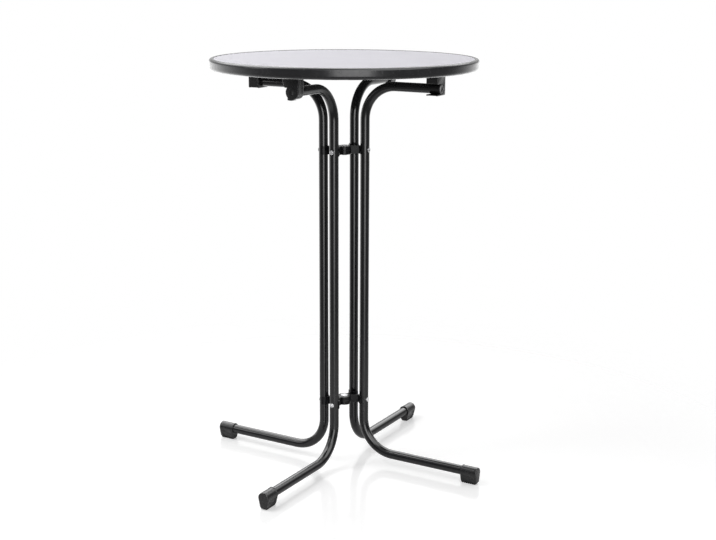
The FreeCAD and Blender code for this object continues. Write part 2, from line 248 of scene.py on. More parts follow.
RIM_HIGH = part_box("rim_band")[1]
CORE_LOW, CORE_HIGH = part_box("tabletop_core")
SKIN_LOW, SKIN_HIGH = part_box("top_laminate")
HINGE_TUBE_LOW, HINGE_TUBE_HIGH = arm_box("front_hinge_tube", "front")
SWING_TUBE_LOW, SWING_TUBE_HIGH = arm_box("right_swing_tube", "right")
TUBE_RADIUS = (HINGE_TUBE_HIGH.y - HINGE_TUBE_LOW.y) / 2
RUN_HEIGHT = HINGE_TUBE_HIGH.z - TUBE_RADIUS
LEG_HEIGHT = HINGE_TUBE_LOW.z + TUBE_RADIUS
UNDERSIDE = CORE_LOW.z
HINGE_OFFSET = HINGE_TUBE_LOW.x + TUBE_RADIUS
SWING_OFFSET = SWING_TUBE_LOW.x + TUBE_RADIUS
SWING_STEP = (SWING_TUBE_LOW.y + SWING_TUBE_HIGH.y) / 2

# Each frame's ends, and its posts' distance from the centre line and step aside
FRAMES = (("hinge", HINGE_ENDS, HINGE_OFFSET, 0.0), ("swing", SWING_ENDS, SWING_OFFSET, SWING_STEP))


# Sizes and colours that a user would change


class TopLook(PropertyGroup):
    laminate_colour: FloatVectorProperty(
        name="Laminate", description="Colour of the pale laminate",
        subtype="COLOR", default=(0.655, 0.645, 0.69), min=0, max=1,
    )
    rim_colour: FloatVectorProperty(
        name="Rim", description="Colour of the moulded edge band",
        subtype="COLOR", default=(0.024, 0.024, 0.026), min=0, max=1,
    )
    board_colour: FloatVectorProperty(
        name="Board", description="Colour of the sealed board underneath",
        subtype="COLOR", default=(0.1, 0.098, 0.097), min=0, max=1,
    )
    upper_round: FloatProperty(
        name="Upper round", description="Radius of the rim's upper edge", unit="LENGTH", default=7 * MM,
    )
    lower_round: FloatProperty(
        name="Lower round", description="Radius of the rim's lower edge", unit="LENGTH", default=9 * MM,
    )
    seam: FloatProperty(
        name="Seam", description="Chamfer on each side of a glued seam", unit="LENGTH", default=0.3 * MM,
    )


class FrameLook(PropertyGroup):
    tube_diameter: FloatProperty(
        name="Tube diameter", description="Outside diameter of the bent tube",
        unit="LENGTH", default=2 * TUBE_RADIUS,
    )
    bend_radius: FloatProperty(
        name="Bend radius", description="Radius of a bend, on the tube's centre line",
        unit="LENGTH", default=90 * MM,
    )
    enamel_colour: FloatVectorProperty(
        name="Enamel", description="Colour of the tubes' enamel",
        subtype="COLOR", default=(0.012, 0.012, 0.013), min=0, max=1,
    )
    strap_colour: FloatVectorProperty(
        name="Strap paint", description="Colour of the painted straps",
        subtype="COLOR", default=(0.008, 0.008, 0.009), min=0, max=1,
    )
    sheet_thickness: FloatProperty(
        name="Saddle sheet", description="Thickness of a strap's saddles", unit="LENGTH", default=2 * MM,
    )
    web_thickness: FloatProperty(
        name="Web sheet", description="Thickness of a strap's web", unit="LENGTH", default=4 * MM,
    )


class FittingLook(PropertyGroup):
    moulding_colour: FloatVectorProperty(
        name="Moulding", description="Colour of the black moulded parts",
        subtype="COLOR", default=(0.015, 0.015, 0.016), min=0, max=1,
    )
    steel_colour: FloatVectorProperty(
        name="Plated steel", description="Colour of rivets, screws, pins and catch plates",
        subtype="COLOR", default=(0.62, 0.62, 0.63), min=0, max=1,
    )
    edge_round: FloatProperty(
        name="Edge round", description="Round on the moulded parts' edges", unit="LENGTH", default=0.8 * MM,
    )
    rivet_diameter: FloatProperty(
        name="Rivet head", description="Diameter of a rivet's head", unit="LENGTH", default=12 * MM,
    )
    rivet_height: FloatProperty(
        name="Rivet rise", description="Height of a rivet's head", unit="LENGTH", default=2.6 * MM,
    )
    screw_diameter: FloatProperty(
        name="Screw head", description="Diameter of a screw's head", unit="LENGTH", default=8 * MM,
    )
    screw_height: FloatProperty(
        name="Screw rise", description="Height of a screw's head", unit="LENGTH", default=2.4 * MM,
    )
    rib_width: FloatProperty(
        name="Rib width", description="Thickness of a hinge bracket's ribs", unit="LENGTH", default=2 * MM,
    )


class FootLook(PropertyGroup):
    rubber_colour: FloatVectorProperty(
        name="Rubber", description="Colour of the rubber pads",
        subtype="COLOR", default=(0.018, 0.018, 0.018), min=0, max=1,
    )
    collar_width: FloatProperty(
        name="Collar width", description="Width of the collar where the leg enters",
        unit="LENGTH", default=4.5 * MM,
    )
    collar_rise: FloatProperty(
        name="Collar rise", description="How far the collar stands proud", unit="LENGTH", default=0.6 * MM,
    )
    pocket_depth: FloatProperty(
        name="Pocket depth", description="Depth of the pocket in each flank", unit="LENGTH", default=1.1 * MM,
    )
    tread_count: IntProperty(
        name="Treads", description="Tread bars under a pad", default=7, min=1,
    )
    tread_height: FloatProperty(
        name="Tread height", description="Depth of the grooves between treads",
        unit="LENGTH", default=1.3 * MM,
    )


class StageLook(PropertyGroup):
    floor_colour: FloatVectorProperty(
        name="Floor", description="Colour of the floor",
        subtype="COLOR", default=(0.93, 0.93, 0.93), min=0, max=1,
    )
    floor_lift: FloatProperty(
        name="Floor lift", description="Light added to the floor for the camera alone", default=0.32, min=0,
    )
    ambient: FloatProperty(
        name="Ambient", description="Level of the light from all round", default=0.55, min=0,
    )
    panel_level: FloatProperty(
        name="Panel", description="Level of the lit panel that glossy surfaces mirror", default=4.5, min=0,
    )
    overhead_power: FloatProperty(
        name="Overhead", description="Power of the overhead light", unit="POWER", default=26.0,
    )
    lens: FloatProperty(
        name="Lens", description="Focal length of the camera", unit="CAMERA", default=63.06,
    )


class TableLook(PropertyGroup):
    top: PointerProperty(type=TopLook, name="Top", description="Sizes and colours of the top")
    frames: PointerProperty(type=FrameLook, name="Frames", description="Sizes and colours of the frames")
    fittings: PointerProperty(
        type=FittingLook, name="Fittings", description="Sizes and colours of the fittings"
    )
    feet: PointerProperty(type=FootLook, name="Feet", description="Sizes and colours of the feet")
    stage: PointerProperty(type=StageLook, name="Stage", description="Floor, light and camera")


def look():
    return bpy.context.scene.folding_table


# Node helpers


def fill(tree, node, inputs):
    """Links a node's inputs to sockets or sets them to values."""
    for key, value in inputs.items():
        if isinstance(value, bpy.types.NodeSocket):
            tree.links.new(value, node.inputs[key])
        else:
            node.inputs[key].default_value = value
    return node


def add_node(tree, kind, inputs, **settings):
    node = tree.nodes.new(kind)
    for name, value in settings.items():
        setattr(node, name, value)
    return fill(tree, node, inputs)


def sums(tree, operation, first, second=0.0):
    return add_node(tree, "ShaderNodeMath", {0: first, 1: second}, operation=operation).outputs[0]


def step_between(tree, value, start, end, low, high):
    """A smooth step from one level to another."""
    limits = {"From Min": start, "From Max": end, "To Min": low, "To Max": high}
    node = add_node(tree, "ShaderNodeMapRange", {"Value": value, **limits}, interpolation_type="SMOOTHSTEP")
    return node.outputs["Result"]


# Finishes


class Finish:
    """A procedural material on object coordinates."""

    def __init__(self, name):
        self.material = bpy.data.materials.new(name)
        self.material.use_nodes = True
        self.tree = self.material.node_tree
        self.shader = self.tree.nodes["Principled BSDF"]
        self.coords = self.node("ShaderNodeTexCoord", {}).outputs["Object"]

    def node(self, kind, inputs, **settings):
        return add_node(self.tree, kind, inputs, **settings)

    def set(self, **inputs):
        """Links or sets the shader's inputs; an underscore stands for a space."""
        fill(self.tree, self.shader, {name.replace("_", " "): value for name, value in inputs.items()})

    def noise(self, size, detail=2.0, stretch=(1, 1, 1)):
        """Noise with features about the given size across."""
        place = self.node("ShaderNodeMapping", {"Vector": self.coords, "Scale": stretch}).outputs["Vector"]
        inputs = {"Vector": place, "Scale": 1 / size, "Detail": detail}
        return self.node("ShaderNodeTexNoise", inputs).outputs["Fac"]

    def cells(self, size):
        """A value for each of many small cells of the given size."""
        texture = self.node("ShaderNodeTexVoronoi", {"Vector": self.coords, "Scale": 1 / size})
        return self.node("ShaderNodeRGBToBW", {"Color": texture.outputs["Color"]}).outputs["Val"]

    def ramp(self, factor, stops):
        node = self.node("ShaderNodeValToRGB", {"Fac": factor})
        elements = node.color_ramp.elements
        while len(elements) < len(stops):
            elements.new(0.5)
        for element, (position, colour) in zip(elements, stops):
            element.position = position
            element.color = (*colour, 1)
        return node.outputs["Color"]

    def tint(self, factor, colour, spread):
        low, high = ([channel * share for channel in colour] for share in (1 - spread, 1 + spread))
        self.set(Base_Color=self.ramp(factor, ((NOISE_LOW, low), (NOISE_HIGH, high))))

    def roughen(self, factor, low, high):
        """Roughness from low to high over the factor's middle range."""
        limits = {"From Min": NOISE_LOW, "From Max": NOISE_HIGH, "To Min": low, "To Max": high}
        self.set(Roughness=self.node("ShaderNodeMapRange", {"Value": factor, **limits}).outputs["Result"])

    def relief(self, height, depth, strength):
        bump = self.node("ShaderNodeBump", {"Height": height, "Distance": depth, "Strength": strength})
        self.set(Normal=bump.outputs["Normal"])


def enamel(name, colour, roughness=0.13, specular=0.5):
    """Stove enamel: deep black and glossy, with faint orange peel and a slightly uneven gloss."""
    finish = Finish(name)
    finish.tint(finish.noise(60 * MM), colour, spread=0.2)
    finish.roughen(finish.noise(25 * MM, detail=3.0), low=roughness - 0.03, high=roughness + 0.05)
    finish.relief(finish.noise(5 * MM, detail=1.0), depth=0.006 * MM, strength=0.5)
    finish.set(Specular_IOR_Level=specular)
    return finish.material


def moulded(name, colour, roughness, grain, depth, specular=0.45):
    """Moulded plastic or rubber with a fine spark-eroded grain."""
    finish = Finish(name)
    finish.tint(finish.noise(40 * MM, detail=3.0), colour, spread=0.18)
    finish.roughen(finish.noise(12 * MM, detail=3.0), low=roughness - 0.06, high=roughness + 0.07)
    finish.relief(finish.noise(grain), depth, strength=0.7)
    finish.set(Specular_IOR_Level=specular)
    return finish.material


def laminate(name, colour):
    """Pressed laminate: pale ground, fine darker and lighter flecks, satin skin."""
    finish = Finish(name)
    dark, ground, pale = ([min(1.0, channel * shade) for channel in colour] for shade in FLECK_SHADES)
    stops = list(zip(FLECK_STOPS, (dark, dark, ground, ground, pale)))
    finish.set(Base_Color=finish.ramp(finish.cells(1.4 * MM), stops))
    finish.roughen(finish.noise(70 * MM, detail=4.0), low=0.55, high=0.65)
    finish.relief(finish.noise(0.9 * MM), depth=0.015 * MM, strength=0.6)
    finish.set(Specular_IOR_Level=0.12)
    return finish.material


def plated(name, colour):
    """Zinc-plated steel with a fine brushed grain and a soft spangle."""
    finish = Finish(name)
    finish.tint(finish.noise(3 * MM, detail=4.0), colour, spread=0.12)
    finish.roughen(finish.noise(0.8 * MM, stretch=(1, 1, 0.15)), low=0.72, high=0.82)
    finish.relief(finish.noise(0.5 * MM, detail=1.0, stretch=(1, 1, 0.1)), depth=0.01 * MM, strength=0.5)
    finish.set(Metallic=1.0)
    return finish.material


def particle_board(name, colour):
    """Sealed particle board: pressed chips under a thin dark coat."""
    finish = Finish(name)
    shades = [[channel * shade for channel in colour] for shade in CHIP_SHADES]
    finish.set(Base_Color=finish.ramp(finish.cells(2.6 * MM), list(zip(CHIP_STOPS, shades))))
    finish.roughen(finish.noise(5 * MM, detail=3.0), low=0.58, high=0.72)
    finish.relief(finish.noise(1.8 * MM, detail=3.0), depth=0.06 * MM, strength=0.6)
    finish.set(Specular_IOR_Level=0.3)
    return finish.material


def finish_of(slot):
    """The finish of a material slot, made the first time it is asked for."""
    name = slot + "_finish"
    made = bpy.data.materials.get(name)
    if made:
        return made
    table = look()
    black = table.fittings.moulding_colour
    nylon = [2 * channel for channel in black]
    recipes = {
        "board_core": (particle_board, table.top.board_colour, {}),
        "pale_laminate": (laminate, table.top.laminate_colour, {}),
        "rim_moulding": (moulded, table.top.rim_colour, {
            "roughness": 0.22, "grain": 0.7 * MM, "depth": 0.006 * MM,
        }),
        "tube_paint": (enamel, table.frames.enamel_colour, {}),
        "strap_paint": (enamel, table.frames.strap_colour, {"roughness": 0.3, "specular": 0.2}),
        "black_moulding": (moulded, black, {
            "roughness": 0.28, "grain": 0.5 * MM, "depth": 0.008 * MM, "specular": 0.5,
        }),
        "bright_steel": (plated, table.fittings.steel_colour, {}),
        "washer_nylon": (moulded, nylon, {"roughness": 0.4, "grain": 0.4 * MM, "depth": 0.015 * MM}),
        "pad_rubber": (moulded, table.feet.rubber_colour, {
            "roughness": 0.74, "grain": 0.9 * MM, "depth": 0.06 * MM, "specular": 0.25,
        }),
    }
    if slot not in recipes:
        raise ValueError("no finish is known for the slot " + slot)
    recipe, colour, values = recipes[slot]
    return recipe(name, colour, **values)


# Mesh helpers


def bridge(bm, first, second):
    """Faces between two rings of vertices; a ring of one vertex is a pole."""
    count = max(len(first), len(second))
    for index in range(count):
        after = (index + 1) % count
        corners = [
            first[index % len(first)], first[after % len(first)],
            second[after % len(second)], second[index % len(second)],
        ]
        bm.faces.new(list(dict.fromkeys(corners)))


def lathe(bm, profile, steps=LATHE_STEPS, looped=False, place=Matrix.Identity(4)):
    """A profile of radii and heights turned about an axis, from pole to pole unless it is looped."""
    rings = []
    for radius, height in profile:
        turns = [math.tau * step / steps for step in range(steps if radius > 0 else 1)]
        points = [Vector((radius * math.cos(turn), radius * math.sin(turn), height)) for turn in turns]
        rings.append([bm.verts.new(place @ point) for point in points])
    for first, second in zip(rings, rings[1:] + (rings[:1] if looped else [])):
        bridge(bm, first, second)


def outward_axis(sideways, height):
    """Place of a lathe whose axis lies along the arm."""
    return Matrix.Translation((0, sideways, height)) @ Matrix.Rotation(math.pi / 2, 4, "Y")


def arc(centre, radius, start, end, steps=ARC_STEPS):
    """Points on an arc, from one angle to another in degrees."""
    turns = [math.radians(start + (end - start) * step / steps) for step in range(steps + 1)]
    return [Vector(centre) + Vector((radius * math.cos(turn), radius * math.sin(turn))) for turn in turns]


def quarter(steps):
    """Angles through a quarter turn."""
    return [math.pi / 2 * step / steps for step in range(steps + 1)]


def rounded(corners):
    """An outline from corners, each with its radius."""
    points = []
    for index, (across, up, radius) in enumerate(corners):
        corner = Vector((across, up))
        if radius == 0:
            points.append(corner)
            continue
        before = (Vector(corners[index - 1][:2]) - corner).normalized()
        after = (Vector(corners[(index + 1) % len(corners)][:2]) - corner).normalized()
        half = before.angle(after) / 2
        centre = corner + (before + after).normalized() * radius / math.sin(half)
        start = corner + before * radius / math.tan(half) - centre
        end = corner + after * radius / math.tan(half) - centre
        first = math.degrees(math.atan2(start.y, start.x))
        sweep = math.degrees(math.atan2(end.y, end.x)) - first
        sweep = (sweep + 180) % 360 - 180
        points += arc(centre, radius, first, first + sweep)
    return points


def rectangle(low, high, *radii):
    """A rectangle between two corners, with a radius for each of its corners in turn."""
    corners = ((low[0], low[1]), (high[0], low[1]), (high[0], high[1]), (low[0], high[1]))
    return rounded([(*corner, radius) for corner, radius in zip(corners, radii)])


def inset(outline, distances):
    """An outline that runs to the left, each point moved in by its own distance."""
    moved = []
    for index, point in enumerate(outline):
        before = (point - outline[index - 1]).normalized()
        after = (outline[(index + 1) % len(outline)] - point).normalized()
        left = Vector((-before.y, before.x))
        inward = (left + Vector((-after.y, after.x))).normalized()
        moved.append(point + inward * distances[index] / max(inward.dot(left), MITRE_LIMIT))
    return moved


def along_arm(point, along):
    return Vector((along, point.x, point.y))


def upright(point, along):
    return Vector((point.x, point.y, along))


def extrude(bm, outline, stations, place, weights=None):
    """A closed solid through an outline at several stations.

    A station has its place, its inset and, where the outline's points have weights, a weighted inset.
    """
    weights = weights or [0.0] * len(outline)
    rings = []
    for along, inward, *weighted in stations:
        ring = inset(outline, [inward + sum(weighted) * weight for weight in weights])
        rings.append([bm.verts.new(place(point, along)) for point in ring])
    for first, second in zip(rings, rings[1:]):
        bridge(bm, first, second)
    bm.faces.new(list(reversed(rings[0])))
    bm.faces.new(rings[-1])


def soft_ends(low, high, radius, steps=3):
    """Stations of an extrusion with two rounded ends; a hold beside each keeps the wall between them flat."""
    start = [(low + radius * (1 - math.cos(turn)), radius * (1 - math.sin(turn))) for turn in quarter(steps)]
    start.append((low + radius * WALL_HOLD, 0.0))
    end = [(low + high - along, inward) for along, inward in reversed(start)]
    return start + end


def place_object(name, data):
    """A new object in the scene."""
    piece = bpy.data.objects.new(name, data)
    bpy.context.scene.collection.objects.link(piece)
    return piece


def add_piece(name, bm, arm=None):
    """A mesh object at the origin, with its place in its mesh."""
    if arm:
        bm.transform(arm_matrix(arm))
    bmesh.ops.recalc_face_normals(bm, faces=bm.faces)
    for face in bm.faces:
        face.smooth = True
    for edge in bm.edges:
        edge.smooth = edge.calc_face_angle(0.0) < SHARP_ANGLE
    mesh = bpy.data.meshes.new(name)
    bm.to_mesh(mesh)
    bm.free()
    return place_object(name, mesh)


def dress(piece, *nodes, hides=True):
    """Puts a piece on the body of its first node, with that node's finish."""
    slot = SLOT_OF[nodes[0]]
    piece.data.materials.clear()
    piece.data.materials.append(finish_of(slot))
    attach(piece, BODY_OF[nodes[0]])
    if hides:
        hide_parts(*nodes)


# Geometry node helpers


def new_tree(name, sizes):
    """A node tree with a named input for each size and one for the finish."""
    tree = bpy.data.node_groups.new(name, "GeometryNodeTree")
    tree.interface.new_socket("Geometry", in_out="INPUT", socket_type="NodeSocketGeometry")
    for label, default in sizes.items():
        socket = tree.interface.new_socket(label, in_out="INPUT", socket_type="NodeSocketFloat")
        socket.subtype = "DISTANCE"
        socket.default_value = default
    tree.interface.new_socket("Finish", in_out="INPUT", socket_type="NodeSocketMaterial")
    tree.interface.new_socket("Geometry", in_out="OUTPUT", socket_type="NodeSocketGeometry")
    return tree, tree.nodes.new("NodeGroupInput").outputs


def close_tree(tree, geometry, finish):
    """Shades by angle, makes instances real, sets the finish and ends the tree."""
    real = add_node(tree, "GeometryNodeRealizeInstances", {"Geometry": geometry})
    smooth = add_node(tree, "GeometryNodeSetShadeSmooth", {"Geometry": real.outputs[0], "Shade Smooth": True})
    angle = add_node(tree, "GeometryNodeInputMeshEdgeAngle", {}).outputs["Unsigned Angle"]
    sharp = sums(tree, "GREATER_THAN", angle, SHARP_ANGLE)
    edged = add_node(
        tree, "GeometryNodeSetShadeSmooth",
        {"Geometry": smooth.outputs[0], "Selection": sharp, "Shade Smooth": False}, domain="EDGE",
    )
    painted = add_node(tree, "GeometryNodeSetMaterial", {"Geometry": edged.outputs[0], "Material": finish})
    add_node(tree, "NodeGroupOutput", {0: painted.outputs[0]})


def domed_head(tree, radius, skirt, dome):
    """Nodes for a round head on Z: a skirt that reaches below zero and a dome above it."""
    drum = add_node(
        tree, "GeometryNodeMeshCylinder",
        {"Vertices": TUBE_STEPS, "Fill Segments": HEAD_RINGS, "Radius": radius, "Depth": skirt},
        fill_type="TRIANGLE_FAN",
    )
    place = add_node(tree, "GeometryNodeInputPosition", {}).outputs[0]
    apart = add_node(tree, "ShaderNodeSeparateXYZ", {0: place}).outputs
    squares = [sums(tree, "MULTIPLY", value, value) for value in (apart[0], apart[1], radius)]
    share = sums(tree, "DIVIDE", sums(tree, "ADD", *squares[:2]), squares[2])
    rise = sums(tree, "MULTIPLY", sums(tree, "SUBTRACT", 1.0, share), dome)
    lift = add_node(tree, "ShaderNodeCombineXYZ", {"Z": rise}).outputs[0]
    raised = add_node(
        tree, "GeometryNodeSetPosition",
        {"Geometry": drum.outputs["Mesh"], "Selection": drum.outputs["Top"], "Offset": lift},
    )
    return raised.outputs[0]


def on_points(tree, points, instance):
    """One instance at each point, its Z axis along the point's outward attribute and X upright."""
    outward = add_node(
        tree, "GeometryNodeInputNamedAttribute", {"Name": "outward"}, data_type="FLOAT_VECTOR"
    ).outputs["Attribute"]
    faced = add_node(tree, "FunctionNodeAlignRotationToVector", {"Vector": outward}, axis="Z").outputs[0]
    turn = add_node(
        tree, "FunctionNodeAlignRotationToVector", {"Rotation": faced, "Vector": (0, 0, 1)},
        axis="X", pivot_axis="Z",
    ).outputs[0]
    return add_node(
        tree, "GeometryNodeInstanceOnPoints", {"Points": points, "Instance": instance, "Rotation": turn}
    ).outputs[0]


def shifted(tree, geometry, rise):
    lift = add_node(tree, "ShaderNodeCombineXYZ", {"Z": rise}).outputs[0]
    return add_node(tree, "GeometryNodeTransform", {"Geometry": geometry, "Translation": lift}).outputs[0]


def cuboid(tree, x, y, z):
    size = add_node(tree, "ShaderNodeCombineXYZ", {"X": x, "Y": y, "Z": z}).outputs[0]
    return add_node(tree, "GeometryNodeMeshCube", {"Size": size}).outputs[0]


def point_mesh(name, points):
    """An object of loose points, each with the direction it faces."""
    mesh = bpy.data.meshes.new(name)
    mesh.from_pydata([place for place, _ in points], [], [])
    outward = mesh.attributes.new("outward", "FLOAT_VECTOR", "POINT")
    for item, (_, direction) in zip(outward.data, points):
        item.vector = direction
    return place_object(name, mesh)


def grow(piece, tree, sizes, slot):
    """Runs a node tree on a piece and keeps its result as a plain mesh."""
    modifier = piece.modifiers.new(tree.name, "NODES")
    modifier.node_group = tree
    values = dict(sizes, Finish=finish_of(slot))
    for item in tree.interface.items_tree:
        if item.in_out == "INPUT" and item.name in values:
            modifier[item.identifier] = values[item.name]
    graph = bpy.context.evaluated_depsgraph_get()
    made = bpy.data.meshes.new_from_object(piece.evaluated_get(graph), depsgraph=graph)
    if not made.polygons:
        raise RuntimeError(piece.name + " came out with no faces")
    path = piece.data
    piece.modifiers.clear()
    piece.data = made
    made.name = piece.name
    bpy.data.meshes.remove(path)
    return piece


def tube_tree(sizes):
    """A tube along a path of straight runs, with its corners bent to a radius."""
    tree, given = new_tree("Bent tube", sizes)
    path = add_node(tree, "GeometryNodeMeshToCurve", {"Mesh": given["Geometry"]})
    bent = add_node(
        tree, "GeometryNodeFilletCurve",
        {"Curve": path.outputs[0], "Count": BEND_STEPS, "Radius": given["Bend Radius"], "Limit Radius": True},
        mode="POLY",
    )
    half = sums(tree, "MULTIPLY", given["Tube Diameter"], 0.5)
    ring = add_node(
        tree, "GeometryNodeCurvePrimitiveCircle", {"Resolution": TUBE_STEPS, "Radius": half}, mode="RADIUS"
    )
    swept = add_node(
        tree, "GeometryNodeCurveToMesh",
        {"Curve": bent.outputs[0], "Profile Curve": ring.outputs[0], "Fill Caps": True},
    )
    close_tree(tree, swept.outputs[0], given["Finish"])
    return tree


def rivet_tree(sizes):
    """Domed rivet heads whose skirts reach down to the round of the post."""
    tree, given = new_tree("Rivet heads", sizes)
    radius = sums(tree, "MULTIPLY", given["Head Diameter"], 0.5)
    dome = sums(tree, "SUBTRACT", given["Head Height"], given["Lip"])
    head = domed_head(tree, radius, given["Skirt"], dome)
    sink = sums(tree, "SUBTRACT", given["Lip"], sums(tree, "MULTIPLY", given["Skirt"], 0.5))
    close_tree(tree, on_points(tree, given["Geometry"], shifted(tree, head, sink)), given["Finish"])
    return tree


def screw_tree(sizes):
    """Pan-headed screws with a cross recess."""
    tree, given = new_tree("Cross-recess screws", sizes)
    radius = sums(tree, "MULTIPLY", given["Head Diameter"], 0.5)
    dome = sums(tree, "MULTIPLY", given["Head Height"], SCREW_DOME)
    wall = sums(tree, "SUBTRACT", given["Head Height"], dome)
    head = shifted(tree, domed_head(tree, radius, wall, dome), sums(tree, "MULTIPLY", wall, 0.5))
    deep = sums(tree, "MULTIPLY", given["Recess Depth"], 2.0)
    bars = add_node(tree, "GeometryNodeJoinGeometry", {})
    for first, second in (("Recess Length", "Recess Width"), ("Recess Width", "Recess Length")):
        bar = cuboid(tree, given[first], given[second], deep)
        tree.links.new(shifted(tree, bar, given["Head Height"]), bars.inputs[0])
    cut = add_node(
        tree, "GeometryNodeMeshBoolean", {"Mesh 1": head, "Mesh 2": bars.outputs[0]}, operation="DIFFERENCE"
    )
    close_tree(tree, on_points(tree, given["Geometry"], cut.outputs[0]), given["Finish"])
    return tree


def tread_tree(sizes):
    """Bars of tread across a rubber pad."""
    tree, given = new_tree("Pad treads", sizes)
    bar = cuboid(tree, given["Tread Height"], given["Pad Width"], given["Tread Width"])
    close_tree(tree, on_points(tree, given["Geometry"], bar), given["Finish"])
    return tree


# Operators, one for each piece or group of like pieces


class TABLE_OT_top(Operator):
    """Board, laminate and moulded rim of the round top"""

    bl_idname = "folding_table.top"
    bl_label = "Tabletop"

    def execute(self, context):
        top = look().top
        seam = top.seam
        board = bmesh.new()
        radius = CORE_HIGH.x
        lathe(board, [
            (0, UNDERSIDE), (radius - seam, UNDERSIDE), (radius, UNDERSIDE + seam),
            (radius, SKIN_LOW.z), (0, SKIN_LOW.z),
        ], RIM_STEPS)
        dress(add_piece("top_board", board), "tabletop_core")

        skin = bmesh.new()
        edge = SKIN_HIGH.x
        lathe(skin, [
            (0, SKIN_LOW.z), (edge, SKIN_LOW.z), (edge, SKIN_HIGH.z - seam),
            (edge - seam, SKIN_HIGH.z), (0, SKIN_HIGH.z),
        ], RIM_STEPS)
        dress(add_piece("top_skin", skin), "top_laminate")

        rim = bmesh.new()
        reach = RIM_HIGH.x
        inner = radius + GLUE_LINE
        lip = edge + GLUE_LINE
        crown = (reach - top.upper_round, SKIN_HIGH.z + RIM_BEAD - top.upper_round)
        belly = (reach - top.lower_round, UNDERSIDE + top.lower_round)
        flank = arc(belly, top.lower_round, -90, 0, RIM_ROUND_STEPS)
        flank += arc(crown, top.upper_round, 0, 90, RIM_ROUND_STEPS)
        flank += arc((lip + RIM_BEAD, SKIN_HIGH.z), RIM_BEAD, 90, 180)
        lathe(rim, [
            (inner, UNDERSIDE + seam), (inner + seam, UNDERSIDE),
            *((point.x, point.y) for point in flank), (lip, SKIN_LOW.z), (inner, SKIN_LOW.z),
        ], RIM_STEPS, looped=True)
        dress(add_piece("top_rim", rim), "rim_band")
        return {"FINISHED"}


class TABLE_OT_tubes(Operator):
    """Four bent tubes, each a run, a post and a leg"""

    bl_idname = "folding_table.tubes"
    bl_label = "Bent tubes"

    def execute(self, context):
        frames = look().frames
        sizes = {"Tube Diameter": frames.tube_diameter, "Bend Radius": frames.bend_radius}
        tree = tube_tree(sizes)
        runs = {
            "hinge": arm_box("front_hinge_bracket", "front")[1].x - HINGE_EAR - HINGE_END_WALL,
            "swing": arm_box("right_run_plug", "right")[1].x - PLUG_DISC,
        }
        legs = {"hinge": HINGE_TUBE_HIGH.x, "swing": SWING_TUBE_HIGH.x}
        for kind, ends, offset, step in FRAMES:
            path = [
                (runs[kind], RUN_HEIGHT), (offset, RUN_HEIGHT),
                (offset, LEG_HEIGHT), (legs[kind], LEG_HEIGHT),
            ]
            for end in ends:
                node = end + "_" + kind + "_tube"
                places = [arm_matrix(end) @ Vector((along, step, height)) for along, height in path]
                mesh = bpy.data.meshes.new(end + "_path")
                mesh.from_pydata(places, [(0, 1), (1, 2), (2, 3)], [])
                piece = place_object(end + "_bent_tube", mesh)
                grow(piece, tree, sizes, SLOT_OF[node])
                self.dimples(piece, end, "_" + kind + "_strap", offset + TUBE_RADIUS, step)
                dress(piece, node)
        return {"FINISHED"}

    def dimples(self, piece, end, strap, face, step):
        """Presses a shallow dimple into the post round each rivet."""
        turn = arm_matrix(end)
        bm = bmesh.new()
        bm.from_mesh(piece.data)
        for level in LEVELS:
            low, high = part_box(level + strap)
            middle = Vector((face, step, (low.z + high.z) / 2))
            for cut in range(-DIMPLE_STEPS, DIMPLE_STEPS + 1):
                plane = middle + Vector((0, 0, cut * DIMPLE_REACH / DIMPLE_STEPS))
                whole = bm.verts[:] + bm.edges[:] + bm.faces[:]
                bmesh.ops.bisect_plane(bm, geom=whole, plane_co=plane, plane_no=(0, 0, 1))
            for vert in bm.verts:
                apart = turn.inverted() @ vert.co - middle
                away = math.hypot(apart.y / DIMPLE_WIDTH, apart.z / DIMPLE_REACH)
                if away < 1 and apart.x > -TUBE_RADIUS:
                    vert.co -= turn @ Vector((DIMPLE_DEPTH * (1 + math.cos(math.pi * away)) / 2, 0, 0))
        bm.to_mesh(piece.data)
        bm.free()


